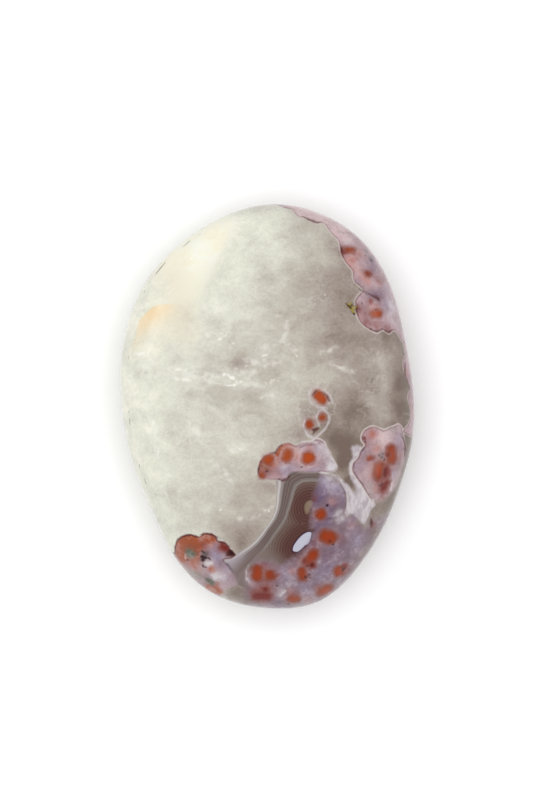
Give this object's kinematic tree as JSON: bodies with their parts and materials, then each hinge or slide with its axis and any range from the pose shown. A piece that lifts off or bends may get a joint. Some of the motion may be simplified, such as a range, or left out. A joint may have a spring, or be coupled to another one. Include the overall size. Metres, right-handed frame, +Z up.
{
  "type": "agate palm stone",
  "caption": "Hand-sized polished pebble of agate with banding, orbicular eyes and milky quartz, rounded all over, resting on a small flat on its underside.",
  "frame": {"origin": "middle of the flat on the underside that the stone rests on, under the middle of its outline", "axes": "+Z up out of the polished face, +Y along the stone's length towards its milky quartz end, +X to the right across it"},
  "size_m": [0.0544, 0.075, 0.024],
  "materials": {
    "agate": "polished"
  },
  "bodies": {
    "root": {"palm_stone": "agate"}
  },
  "joints": []
}
